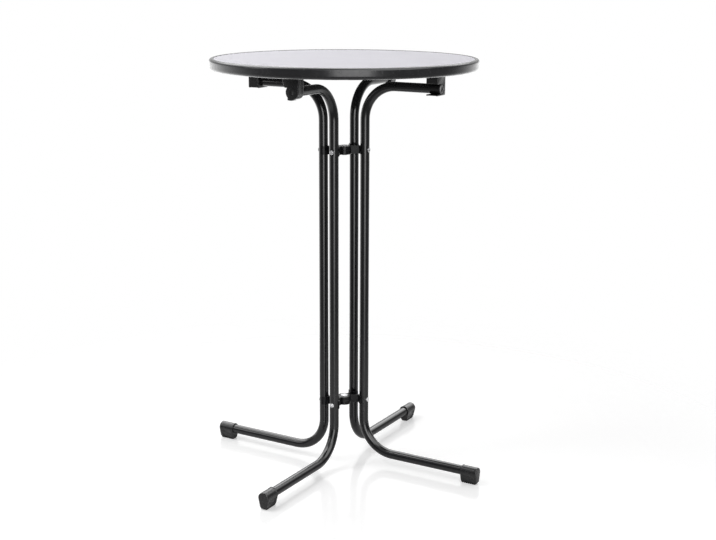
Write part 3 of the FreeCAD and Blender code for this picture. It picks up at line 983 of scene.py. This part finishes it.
class TABLE_OT_straps(Operator):
    """Upper and lower straps of both frames, each two saddles, a web and a knuckle"""

    bl_idname = "folding_table.straps"
    bl_label = "Straps"

    def execute(self, context):
        for level in LEVELS:
            washer_low, washer_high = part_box(level + "_pivot_washer")
            node = level + "_hinge_strap"
            low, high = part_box(node)
            web = (low.z, washer_low.z)
            self.strap(node, "front", HINGE_OFFSET, 0.0, (low.z, high.z), web, washer_high.x)
            node = level + "_swing_strap"
            low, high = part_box(node)
            web = (washer_high.z + AXIAL_PLAY, high.z)
            self.strap(node, "right", SWING_OFFSET, SWING_STEP, (low.z, high.z), web, washer_high.x)
        return {"FINISHED"}

    def strap(self, node, arm, offset, step, depth, web_depth, knuckle):
        frames = look().frames
        inner = TUBE_RADIUS + SADDLE_PLAY
        outer = inner + frames.sheet_thickness
        half = frames.web_thickness / 2
        reach = math.hypot(offset - TUBE_RADIUS, step)
        turn = math.degrees(math.atan2(step, offset - TUBE_RADIUS))
        stub = half - STUB_EASE
        start = knuckle + KNUCKLE_GAP
        root = math.degrees(math.asin(stub / knuckle))
        outline = arc((0, 0), knuckle, root, 180 - root, HALF_TURN_STEPS)
        outline += [Vector((-start - SINK, stub)), Vector((-start - SINK, -stub))]
        outline += arc((0, 0), knuckle, 180 + root, 360 - root, HALF_TURN_STEPS)
        outline += [Vector((start + SINK, -stub)), Vector((start + SINK, stub))]
        spin = Matrix.Rotation(math.radians(turn), 2)
        bm = bmesh.new()
        extrude(bm, [spin @ point for point in outline], soft_ends(*web_depth, FINE_EDGE), upright)
        wing = [Vector(corner) for corner in ((start, -half), (reach, -half), (reach, half), (start, half))]
        for side in (1, -1):
            extrude(bm, [spin @ (side * corner) for corner in wing], soft_ends(*depth, FINE_EDGE), upright)
            centre = (side * offset, side * step)
            first = 90 if side > 0 else -90
            ring = arc(centre, outer, first, first + 180, HALF_TURN_STEPS)
            ring += arc(centre, inner, first + 180, first, HALF_TURN_STEPS)
            extrude(bm, ring, soft_ends(*depth, FINE_EDGE), upright)
        dress(add_piece(node.replace("strap", "link_strap"), bm, arm), node)


class TABLE_OT_pivots(Operator):
    """Headed pivot pins on the centre line and the washers between the knuckles"""

    bl_idname = "folding_table.pivots"
    bl_label = "Pivot pins and washers"

    def execute(self, context):
        for level in LEVELS:
            low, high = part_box(level + "_pivot_pin")
            head = high.x
            pin = bmesh.new()
            lower = [
                (0, low.z), (head - PIN_CHAMFER, low.z),
                (head, low.z + PIN_CHAMFER), (head, low.z + PIN_HEAD),
            ]
            dome = [
                (head * math.sin(turn), high.z - PIN_CHAMFER * (1 - math.cos(turn)))
                for turn in reversed(quarter(ROUND_STEPS))
            ]
            shank = [(PIN_SHANK, low.z + PIN_HEAD), (PIN_SHANK, high.z - PIN_HEAD), (head, high.z - PIN_HEAD)]
            lathe(pin, lower + shank + dome)
            dress(add_piece(level + "_headed_pin", pin), level + "_pivot_pin")

            low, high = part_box(level + "_pivot_washer")
            washer = bmesh.new()
            edge = (high.z - low.z) / 4
            lathe(washer, [
                (PIN_SHANK, low.z), (high.x - edge, low.z), (high.x, low.z + edge),
                (high.x, high.z - edge), (high.x - edge, high.z), (PIN_SHANK, high.z),
            ], looped=True)
            dress(add_piece(level + "_knuckle_washer", washer), level + "_pivot_washer")
        return {"FINISHED"}


class TABLE_OT_rivets(Operator):
    """Domed rivets where the straps meet the posts"""

    bl_idname = "folding_table.rivets"
    bl_label = "Rivets"

    def execute(self, context):
        fittings = look().fittings
        half = fittings.rivet_diameter / 2
        fall = TUBE_RADIUS - math.sqrt(TUBE_RADIUS**2 - half**2)
        sizes = {
            "Head Diameter": fittings.rivet_diameter, "Head Height": fittings.rivet_height,
            "Lip": RIVET_LIP, "Skirt": fall + DIMPLE_DEPTH + 2 * RIVET_LIP,
        }
        tree = rivet_tree(sizes)
        for kind, ends, offset, step in FRAMES:
            node = kind + "_frame_rivets"
            points = []
            for end in ends:
                turn = arm_matrix(end)
                for level in LEVELS:
                    low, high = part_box(level + "_" + kind + "_strap")
                    place = Vector((offset + TUBE_RADIUS, step, (low.z + high.z) / 2))
                    points.append((turn @ place, turn @ Vector((1, 0, 0))))
            piece = point_mesh(kind + "_rivet_heads", points)
            dress(grow(piece, tree, sizes, SLOT_OF[node]), node)
        return {"FINISHED"}


class TABLE_OT_hinge_brackets(Operator):
    """Moulded brackets in which the hinge frame's runs turn"""

    bl_idname = "folding_table.hinge_brackets"
    bl_label = "Hinge brackets"

    def execute(self, context):
        fittings = look().fittings
        for end in HINGE_ENDS:
            node = end + "_hinge_bracket"
            low, high = arm_box(node, end)
            inner, outer = low.x + HINGE_EAR, high.x - HINGE_EAR
            knuckle = RUN_HEIGHT - low.z
            seat = UNDERSIDE - HINGE_FLANGE
            ledge = RUN_HEIGHT + LEDGE_RISE
            foot = math.sqrt(knuckle**2 - LEDGE_RISE**2)
            rise = math.degrees(math.atan2(LEDGE_RISE, foot))
            neck = rounded([
                (knuckle, seat + SINK, 0), (-FLARE_REACH, seat + SINK, 0),
                (-LEDGE_REACH, ledge, LEDGE_ROUND), (-foot, ledge, 0),
            ])
            outline = arc((0, RUN_HEIGHT), knuckle, 180 - rise, 360, LATHE_STEPS)[1:] + neck
            bm = bmesh.new()
            extrude(bm, outline, soft_ends(inner, outer, fittings.edge_round), along_arm)
            plate = rectangle(low, high, *[PLATE_CORNER] * 4)
            extrude(bm, plate, soft_ends(seat, UNDERSIDE, fittings.edge_round), upright)
            self.ribs(bm, outer, seat, knuckle)
            self.nose(bm, inner, outer, knuckle)
            self.boss(bm, outer, knuckle)
            self.collar(bm, inner)
            dress(add_piece(end + "_knuckle_bracket", bm, end), node)
        return {"FINISHED"}

    def ribs(self, bm, outer, seat, knuckle):
        """Upright ribs on the straight flank and gussets on the flared one."""
        width = look().fittings.rib_width
        for inward in RIB_PLACES:
            straight = [
                (knuckle - RIB_BITE, RUN_HEIGHT - RIB_FOOT, 0),
                (knuckle + RIB_RISE / 2, RUN_HEIGHT - RIB_FOOT, RIB_ROUNDS[0]),
                (knuckle + RIB_RISE, RUN_HEIGHT + RIB_SHOULDER, RIB_ROUNDS[1]),
                (knuckle + RIB_RISE, seat - RIB_BITE, RIB_ROUNDS[2]),
                (knuckle + RIB_SPREAD, seat + SINK, 0), (knuckle - RIB_BITE, seat + SINK, 0),
            ]
            flared = [
                (RIB_BITE - FLARE_REACH, seat + SINK, 0), (-FLARE_REACH - RIB_RISE, seat + SINK, 0),
                (-LEDGE_REACH - RIB_RISE, RUN_HEIGHT + LEDGE_RISE + SINK, RIB_ROUNDS[1]),
                (RIB_SPREAD - LEDGE_REACH, RUN_HEIGHT + LEDGE_RISE + SINK, 0),
            ]
            stations = soft_ends(outer - inward - width, outer - inward, FINE_EDGE)
            for corners in (straight, flared):
                extrude(bm, rounded(corners), stations, along_arm)

    def nose(self, bm, inner, outer, knuckle):
        """A low stop under the knuckle, towards the flared side."""
        foot = RUN_HEIGHT - knuckle
        corners = [
            (-NOSE_WIDTH, foot + NOSE_ROOT, 0), (-NOSE_WIDTH, foot - NOSE_DROP + SINK, NOSE_ROUND),
            (-NOSE_WIDTH * NOSE_TIP, foot - NOSE_DROP, NOSE_ROUND), (0, foot + NOSE_ROOT, 0),
        ]
        stations = soft_ends(inner + NOSE_SETBACK[0], outer - NOSE_SETBACK[1], FINE_EDGE)
        extrude(bm, rounded(corners), stations, along_arm)

    def boss(self, bm, outer, knuckle):
        """A low round boss on the closed end of the knuckle."""
        radius = knuckle * BOSS_SHARE
        dish = outer + BOSS_RISE / 3
        profile = [(0, outer - SINK), (radius, outer - SINK)]
        profile += [
            (radius - BOSS_RISE * (1 - math.cos(turn)), outer + BOSS_RISE * math.sin(turn))
            for turn in quarter(BOSS_STEPS)
        ]
        profile += [(radius * BOSS_DISH[0], outer + BOSS_RISE), (radius * BOSS_DISH[1], dish), (0, dish)]
        lathe(bm, profile, place=outward_axis(0, RUN_HEIGHT))

    def collar(self, bm, inner):
        """A rounded lip where the run enters the knuckle."""
        bore = TUBE_RADIUS + COLLAR_PLAY
        wide = TUBE_RADIUS + COLLAR_WIDTH
        lathe(bm, [
            (bore, inner + SINK), (bore, inner - COLLAR_RISE / 2),
            (TUBE_RADIUS + COLLAR_EDGE, inner - COLLAR_RISE), (wide - COLLAR_EDGE, inner - COLLAR_RISE),
            (wide, inner - COLLAR_RISE / 2), (wide, inner + SINK),
        ], looped=True, place=outward_axis(0, RUN_HEIGHT))


class TABLE_OT_clips(Operator):
    """Side-opening clips with their bright catch plates and pegs"""

    bl_idname = "folding_table.clips"
    bl_label = "Clips and catch plates"

    def execute(self, context):
        pegs = bmesh.new()
        for end in SWING_ENDS:
            self.clip(end)
            self.plate(end)
            self.peg(pegs, end)
        dress(add_piece("catch_studs", pegs), "catch_pegs")
        return {"FINISHED"}

    def clip(self, end):
        fittings = look().fittings
        low, high = arm_box(end + "_clip", end)
        body_end = high.x - EAR_LENGTH
        slot = TUBE_RADIUS + CLIP_PLAY
        slot_low = RUN_HEIGHT - slot
        slot_high = RUN_HEIGHT + slot
        back = rectangle((low.y, low.z), (high.y, UNDERSIDE), CLIP_LIP_ROUND, CLIP_BACK_ROUND, 0, 0)
        mouth = rounded([
            (low.y, UNDERSIDE, 0), (low.y, slot_high, CLIP_MOUTH_ROUND), (SWING_STEP, slot_high, 0),
        ])[1:-1]
        seat = arc((SWING_STEP, RUN_HEIGHT), slot, 90, -90, HALF_TURN_STEPS)
        lip = rounded([(SWING_STEP, slot_low, 0), (low.y, slot_low, CLIP_TIP_ROUND), (low.y, low.z, 0)])[1:-1]
        front = mouth + seat + lip
        outline = back + front
        ridge = [float(point.y < UNDERSIDE - SINK) for point in back] + [0.0] * len(front)
        bm = bmesh.new()
        extrude(bm, outline, soft_ends(low.x, body_end, fittings.edge_round), along_arm)
        self.beads(bm, outline, ridge, low.x, body_end)
        ear = rectangle((body_end - CLIP_EAR_ROOT, low.y), high, 0, PLATE_CORNER, PLATE_CORNER, 0)
        extrude(bm, ear, soft_ends(UNDERSIDE - CLIP_EAR, UNDERSIDE, fittings.edge_round), upright)
        dress(add_piece(end + "_side_clip", bm, end), end + "_clip")

    def beads(self, bm, outline, ridge, inner, outer):
        """A thin raised bead round the back at each end of a clip."""
        skin = inset(outline, [BEAD_SKIN] * len(outline))
        for middle in (inner + BEAD_WIDTH, outer - BEAD_WIDTH):
            stations = [(middle + BEAD_WIDTH * share, 0, inward) for share, inward in BEAD_SHAPE]
            extrude(bm, skin, stations, along_arm, ridge)

    def plate(self, end):
        low, high = arm_box(end + "_catch_plate", end)
        outline = rectangle((low.y, low.z), (high.y, high.z), CATCH_CORNER, CATCH_CORNER, 0, 0)
        bm = bmesh.new()
        extrude(bm, outline, soft_ends(low.x, high.x, FINE_EDGE), along_arm)
        dress(add_piece(end + "_bright_plate", bm, end), end + "_catch_plate")

    def peg(self, bm, end):
        low, high = arm_box(end + "_catch_plate", end)
        profile = [(radius * MM, low.x + away * MM) for radius, away in PEG_PROFILE_MM]
        place = outward_axis((low.y + high.y) / 2, (low.z + high.z) / 2)
        lathe(bm, profile, place=arm_matrix(end) @ place)


class TABLE_OT_plugs(Operator):
    """Moulded plugs in the free ends of the swing frame's runs"""

    bl_idname = "folding_table.plugs"
    bl_label = "Run plugs"

    def execute(self, context):
        for end in SWING_ENDS:
            face = arm_box(end + "_run_plug", end)[1].x
            radius = TUBE_RADIUS
            bm = bmesh.new()
            lathe(bm, [
                (0, face - PLUG_DISC), (radius, face - PLUG_DISC), (radius, face - PLUG_EDGE),
                (radius - PLUG_CHAMFER, face - PLUG_CHAMFER), (radius - PLUG_EDGE, face),
                *((radius * share, face - depth) for share, depth in PLUG_DISH),
            ], place=outward_axis(SWING_STEP, RUN_HEIGHT))
            dress(add_piece(end + "_end_plug", bm, end), end + "_run_plug")
        return {"FINISHED"}


class TABLE_OT_screws(Operator):
    """Cross-recess screws that hold the brackets to the board"""

    bl_idname = "folding_table.screws"
    bl_label = "Screws"

    def execute(self, context):
        fittings = look().fittings
        sizes = {
            "Head Diameter": fittings.screw_diameter, "Head Height": fittings.screw_height,
            **SCREW_RECESS,
        }
        tree = screw_tree(sizes)
        hinge_points = []
        for end in HINGE_ENDS:
            low, high = arm_box(end + "_hinge_bracket", end)
            hinge_points += [
                self.seat(end, along, side * (high.y - SCREW_EDGE), HINGE_FLANGE)
                for along in (low.x + SCREW_EDGE, high.x - SCREW_EDGE) for side in (1, -1)
            ]
        clip_points = []
        for end in SWING_ENDS:
            low, high = arm_box(end + "_clip", end)
            clip_points += [
                self.seat(end, high.x - EAR_LENGTH / 2, across, CLIP_EAR)
                for across in (low.y + SCREW_EDGE, high.y - SCREW_EDGE)
            ]
        for name, node, points in (
            ("hinge_flange_screws", "hinge_bracket_screws", hinge_points),
            ("clip_ear_screws", "clip_screws", clip_points),
        ):
            dress(grow(point_mesh(name, points), tree, sizes, SLOT_OF[node]), node)
        return {"FINISHED"}

    def seat(self, end, along, across, thickness):
        """A screw's place under a plate of the given thickness, and the way it faces."""
        return arm_matrix(end) @ Vector((along, across, UNDERSIDE - thickness)), (0, 0, -1)


class TABLE_OT_feet(Operator):
    """Moulded foot caps and their rubber pads"""

    bl_idname = "folding_table.feet"
    bl_label = "Feet"

    def execute(self, context):
        for kind, ends, _, step in FRAMES:
            for end in ends:
                self.cap(end, step)
            self.pads(kind, ends, step)
        return {"FINISHED"}

    def cap(self, end, step):
        feet = look().feet
        low, high = arm_box(end + "_foot_cap", end)
        back = high.z - LEG_HEIGHT
        sole = SOLE_WIDTH / 2
        drop = LEG_HEIGHT - low.z
        flank = math.acos(back / math.hypot(sole, drop)) - math.atan2(drop, sole)
        rise = math.degrees(flank)
        top = Vector((back * math.cos(flank), LEG_HEIGHT + back * math.sin(flank)))
        corner = Vector((sole, low.z))
        shares = [number / FLANK_STEPS for number in range(1, FLANK_STEPS)]
        right = [Vector((sole - SOLE_EDGE, low.z)), corner + Vector((0, SOLE_EDGE))]
        right += [corner.lerp(top, share) for share in shares]
        crown = arc((0, LEG_HEIGHT), back, rise, 180 - rise, TUBE_STEPS)
        left = [Vector((-point.x, point.y)) for point in reversed(right)]
        outline = [point + Vector((step, 0)) for point in right + crown + left]
        pocket = [0.0, 0.0] + [math.sin(math.pi * share) ** 0.5 for share in shares]
        weights = pocket + [0.0] * len(crown) + list(reversed(pocket))
        collar_end = low.x + feet.collar_width
        stations = [
            (low.x, CAP_MOUTH[0]), (low.x + CAP_MOUTH[1], -feet.collar_rise),
            (collar_end - CAP_STEP, -feet.collar_rise), (collar_end, 0), (collar_end + POCKET_START[0], 0),
            (collar_end + POCKET_START[1], 0, feet.pocket_depth),
            (high.x - POCKET_END[0], 0, feet.pocket_depth),
            (high.x - POCKET_END[1], 0), (high.x - CAP_ROUND, 0),
        ]
        stations += [
            (high.x - CAP_ROUND * (1 - math.sin(turn)), CAP_ROUND * (1 - math.cos(turn)))
            for turn in quarter(ROUND_STEPS)[1:]
        ]
        bm = bmesh.new()
        extrude(bm, outline, stations, along_arm, weights)
        dress(add_piece(end + "_moulded_cap", bm, end), end + "_foot_cap")

    def pads(self, kind, ends, step):
        feet = look().feet
        node = kind + "_frame_foot_pads"
        half = SOLE_WIDTH / 2 - PAD_MARGIN
        height = feet.tread_height + TREAD_BITE
        bm = bmesh.new()
        points = []
        for end in ends:
            turn = arm_matrix(end)
            low, high = arm_box(end + "_foot_cap", end)
            inner, outer = low.x + PAD_MARGIN, high.x - CAP_ROUND - PAD_MARGIN
            outline = rectangle((inner, step - half), (outer, step + half), *[PAD_CORNER] * 4)
            stations = soft_ends(feet.tread_height, low.z, FINE_EDGE)
            extrude(bm, outline, stations, lambda point, along: turn @ upright(point, along))
            pitch = (outer - inner - 2 * PAD_CORNER) / feet.tread_count
            for number in range(feet.tread_count):
                along = inner + PAD_CORNER + pitch * (number + 0.5)
                points.append((turn @ Vector((along, step, height / 2)), turn @ Vector((1, 0, 0))))
        dress(add_piece(kind + "_rubber_pads", bm), node)
        sizes = {
            "Tread Height": height, "Pad Width": 2 * half - TREAD_EASE, "Tread Width": pitch * TREAD_SHARE,
        }
        treads = point_mesh(kind + "_pad_treads", points)
        dress(grow(treads, tread_tree(sizes), sizes, SLOT_OF[node]), node, hides=False)


class TABLE_OT_stage(Operator):
    """Pale floor, soft studio light and the camera"""

    bl_idname = "folding_table.stage"
    bl_label = "Stage"

    def execute(self, context):
        scene = context.scene
        scene.view_settings.view_transform = "Standard"
        self.floor()
        self.world(scene)
        stage = look().stage
        for name, lamp in LAMPS.items():
            self.light(name, **{"power": stage.overhead_power, **lamp})
        self.camera(scene, stage.lens)
        return {"FINISHED"}

    def floor(self):
        stage = look().stage
        bm = bmesh.new()
        bmesh.ops.create_circle(bm, cap_ends=True, segments=FLOOR_STEPS, radius=FLOOR_RADIUS)
        bmesh.ops.translate(bm, verts=bm.verts, vec=(0, 0, -FLOOR_GAP))
        mesh = bpy.data.meshes.new("studio_floor")
        bm.to_mesh(mesh)
        bm.free()
        finish = Finish("studio_floor_finish")
        seen = finish.node("ShaderNodeLightPath", {}).outputs["Is Camera Ray"]
        finish.set(
            Base_Color=(*stage.floor_colour, 1), Roughness=FLOOR_ROUGHNESS, Specular_IOR_Level=FLOOR_SPECULAR,
            Emission_Color=(1, 1, 1, 1),
            Emission_Strength=sums(finish.tree, "MULTIPLY", seen, stage.floor_lift),
        )
        reach = finish.node("ShaderNodeVectorMath", {0: finish.coords}, operation="LENGTH").outputs["Value"]
        start, end = (FLOOR_RADIUS * share for share in FLOOR_FADE)
        fade = step_between(finish.tree, reach, start, end, 0.0, 1.0)
        clear = finish.node("ShaderNodeBsdfTransparent", {}).outputs[0]
        mix = finish.node("ShaderNodeMixShader", {0: fade, 1: finish.shader.outputs[0], 2: clear})
        fill(finish.tree, finish.tree.nodes["Material Output"], {"Surface": mix.outputs[0]})
        mesh.materials.append(finish.material)
        floor = place_object("studio_floor", mesh)

    def world(self, scene):
        """White for the camera; in reflections a sweep behind, a dark room in front and a tall lit panel."""
        scene.world = bpy.data.worlds.new("studio_world")
        scene.world.use_nodes = True
        tree = scene.world.node_tree
        path = tree.nodes.new("ShaderNodeLightPath").outputs
        ray = tree.nodes.new("ShaderNodeTexCoord").outputs["Generated"]
        behind = self.along(tree, ray, BACKDROP_SIDE)
        aside = sums(tree, "ABSOLUTE", self.along(tree, ray, PANEL_SIDE))
        front = step_between(tree, behind, *PANEL_FRONT, 1.0, 0.0)
        width = step_between(tree, aside, *PANEL_EDGE, look().stage.panel_level, 0.0)
        rise = self.along(tree, ray, (0, 0, 1))
        foot = step_between(tree, rise, *PANEL_FOOT, 0.0, 1.0)
        panel = sums(tree, "MULTIPLY", sums(tree, "MULTIPLY", front, width), foot)
        dip = step_between(tree, rise, *SWEEP_DIP, 1.0, SWEEP_LOW)
        gain = sums(tree, "ADD", dip, step_between(tree, rise, *SWEEP_RISE, 0.0, SWEEP_GAIN))
        glow = step_between(tree, self.along(tree, ray, SWEEP_SIDE), *SWEEP_EDGE, ROOM_LEVEL, SWEEP_LEVEL)
        sweep = sums(tree, "MULTIPLY", glow, gain)
        high = step_between(tree, self.along(tree, ray, HIGH_SIDE), *HIGH_EDGE, 0.0, HIGH_LEVEL)
        studio = sums(tree, "MAXIMUM", sums(tree, "MAXIMUM", sweep, high), panel)
        mirrored = sums(tree, "MAXIMUM", path["Is Glossy Ray"], path["Is Transmission Ray"])
        shown = add_node(tree, "ShaderNodeMix", {0: mirrored, 2: look().stage.ambient, 3: studio})
        strength = add_node(tree, "ShaderNodeMix", {0: path["Is Camera Ray"], 2: shown.outputs[0], 3: 1.0})
        fill(tree, tree.nodes["Background"], {"Color": (1, 1, 1, 1), "Strength": strength.outputs[0]})

    def along(self, tree, ray, direction):
        node = add_node(tree, "ShaderNodeVectorMath", {0: ray, 1: direction}, operation="DOT_PRODUCT")
        return node.outputs["Value"]

    def light(self, name, place, target, size, power, mirrored=True):
        data = bpy.data.lights.new(name, "AREA")
        data.shape = "RECTANGLE"
        data.size, data.size_y = size
        data.energy = power
        lamp = place_object(name, data)
        lamp.location = place
        lamp.rotation_euler = (Vector(target) - Vector(place)).to_track_quat("-Z", "Y").to_euler()
        lamp.visible_camera = False
        lamp.visible_glossy = mirrored

    def camera(self, scene, lens):
        data = bpy.data.cameras.new("photo_camera")
        data.sensor_fit = "HORIZONTAL"
        data.sensor_width = CAMERA_SENSOR
        data.lens = lens
        camera = place_object("photo_camera", data)
        level = Vector(CAMERA_LEVEL).normalized()
        pitch = math.radians(CAMERA_PITCH)
        forward = level * math.cos(pitch) - Vector((0, 0, math.sin(pitch)))
        right = forward.cross(Vector((0, 0, 1))).normalized()
        up = right.cross(forward)
        turn = Matrix((right, up, -forward)).transposed().to_4x4()
        roll = Matrix.Rotation(math.radians(CAMERA_ROLL), 4, "Z")
        camera.matrix_world = Matrix.Translation(CAMERA_PLACE) @ turn @ roll
        scene.camera = camera


class TABLE_PT_build(Panel):
    """Lists the pieces of the folding table"""

    bl_idname = "TABLE_PT_build"
    bl_label = "Folding Table"
    bl_space_type = "VIEW_3D"
    bl_region_type = "UI"
    bl_category = "Folding Table"

    def draw(self, context):
        table = context.scene.folding_table
        for group in (table.top, table.frames, table.fittings, table.feet, table.stage):
            box = self.layout.box()
            for name in group.__annotations__:
                box.prop(group, name)
        for operator in OPERATORS:
            self.layout.operator(operator.bl_idname)


OPERATORS = (
    TABLE_OT_top, TABLE_OT_tubes, TABLE_OT_straps, TABLE_OT_pivots, TABLE_OT_rivets, TABLE_OT_hinge_brackets,
    TABLE_OT_clips, TABLE_OT_plugs, TABLE_OT_screws, TABLE_OT_feet, TABLE_OT_stage,
)
CLASSES = (TopLook, FrameLook, FittingLook, FootLook, StageLook, TableLook) + OPERATORS + (TABLE_PT_build,)


def register():
    for item in CLASSES:
        bpy.utils.register_class(item)
    bpy.types.Scene.folding_table = PointerProperty(
        type=TableLook, name="Folding table", description="Sizes and colours of the folding table"
    )


def unregister():
    del bpy.types.Scene.folding_table
    for item in reversed(CLASSES):
        bpy.utils.unregister_class(item)


def main():
    register()
    make = bpy.ops.folding_table
    make.top()
    make.tubes()
    make.straps()
    make.pivots()
    make.rivets()
    make.hinge_brackets()
    make.clips()
    make.plugs()
    make.screws()
    make.feet()
    make.stage()


if __name__ == "__main__":
    main()
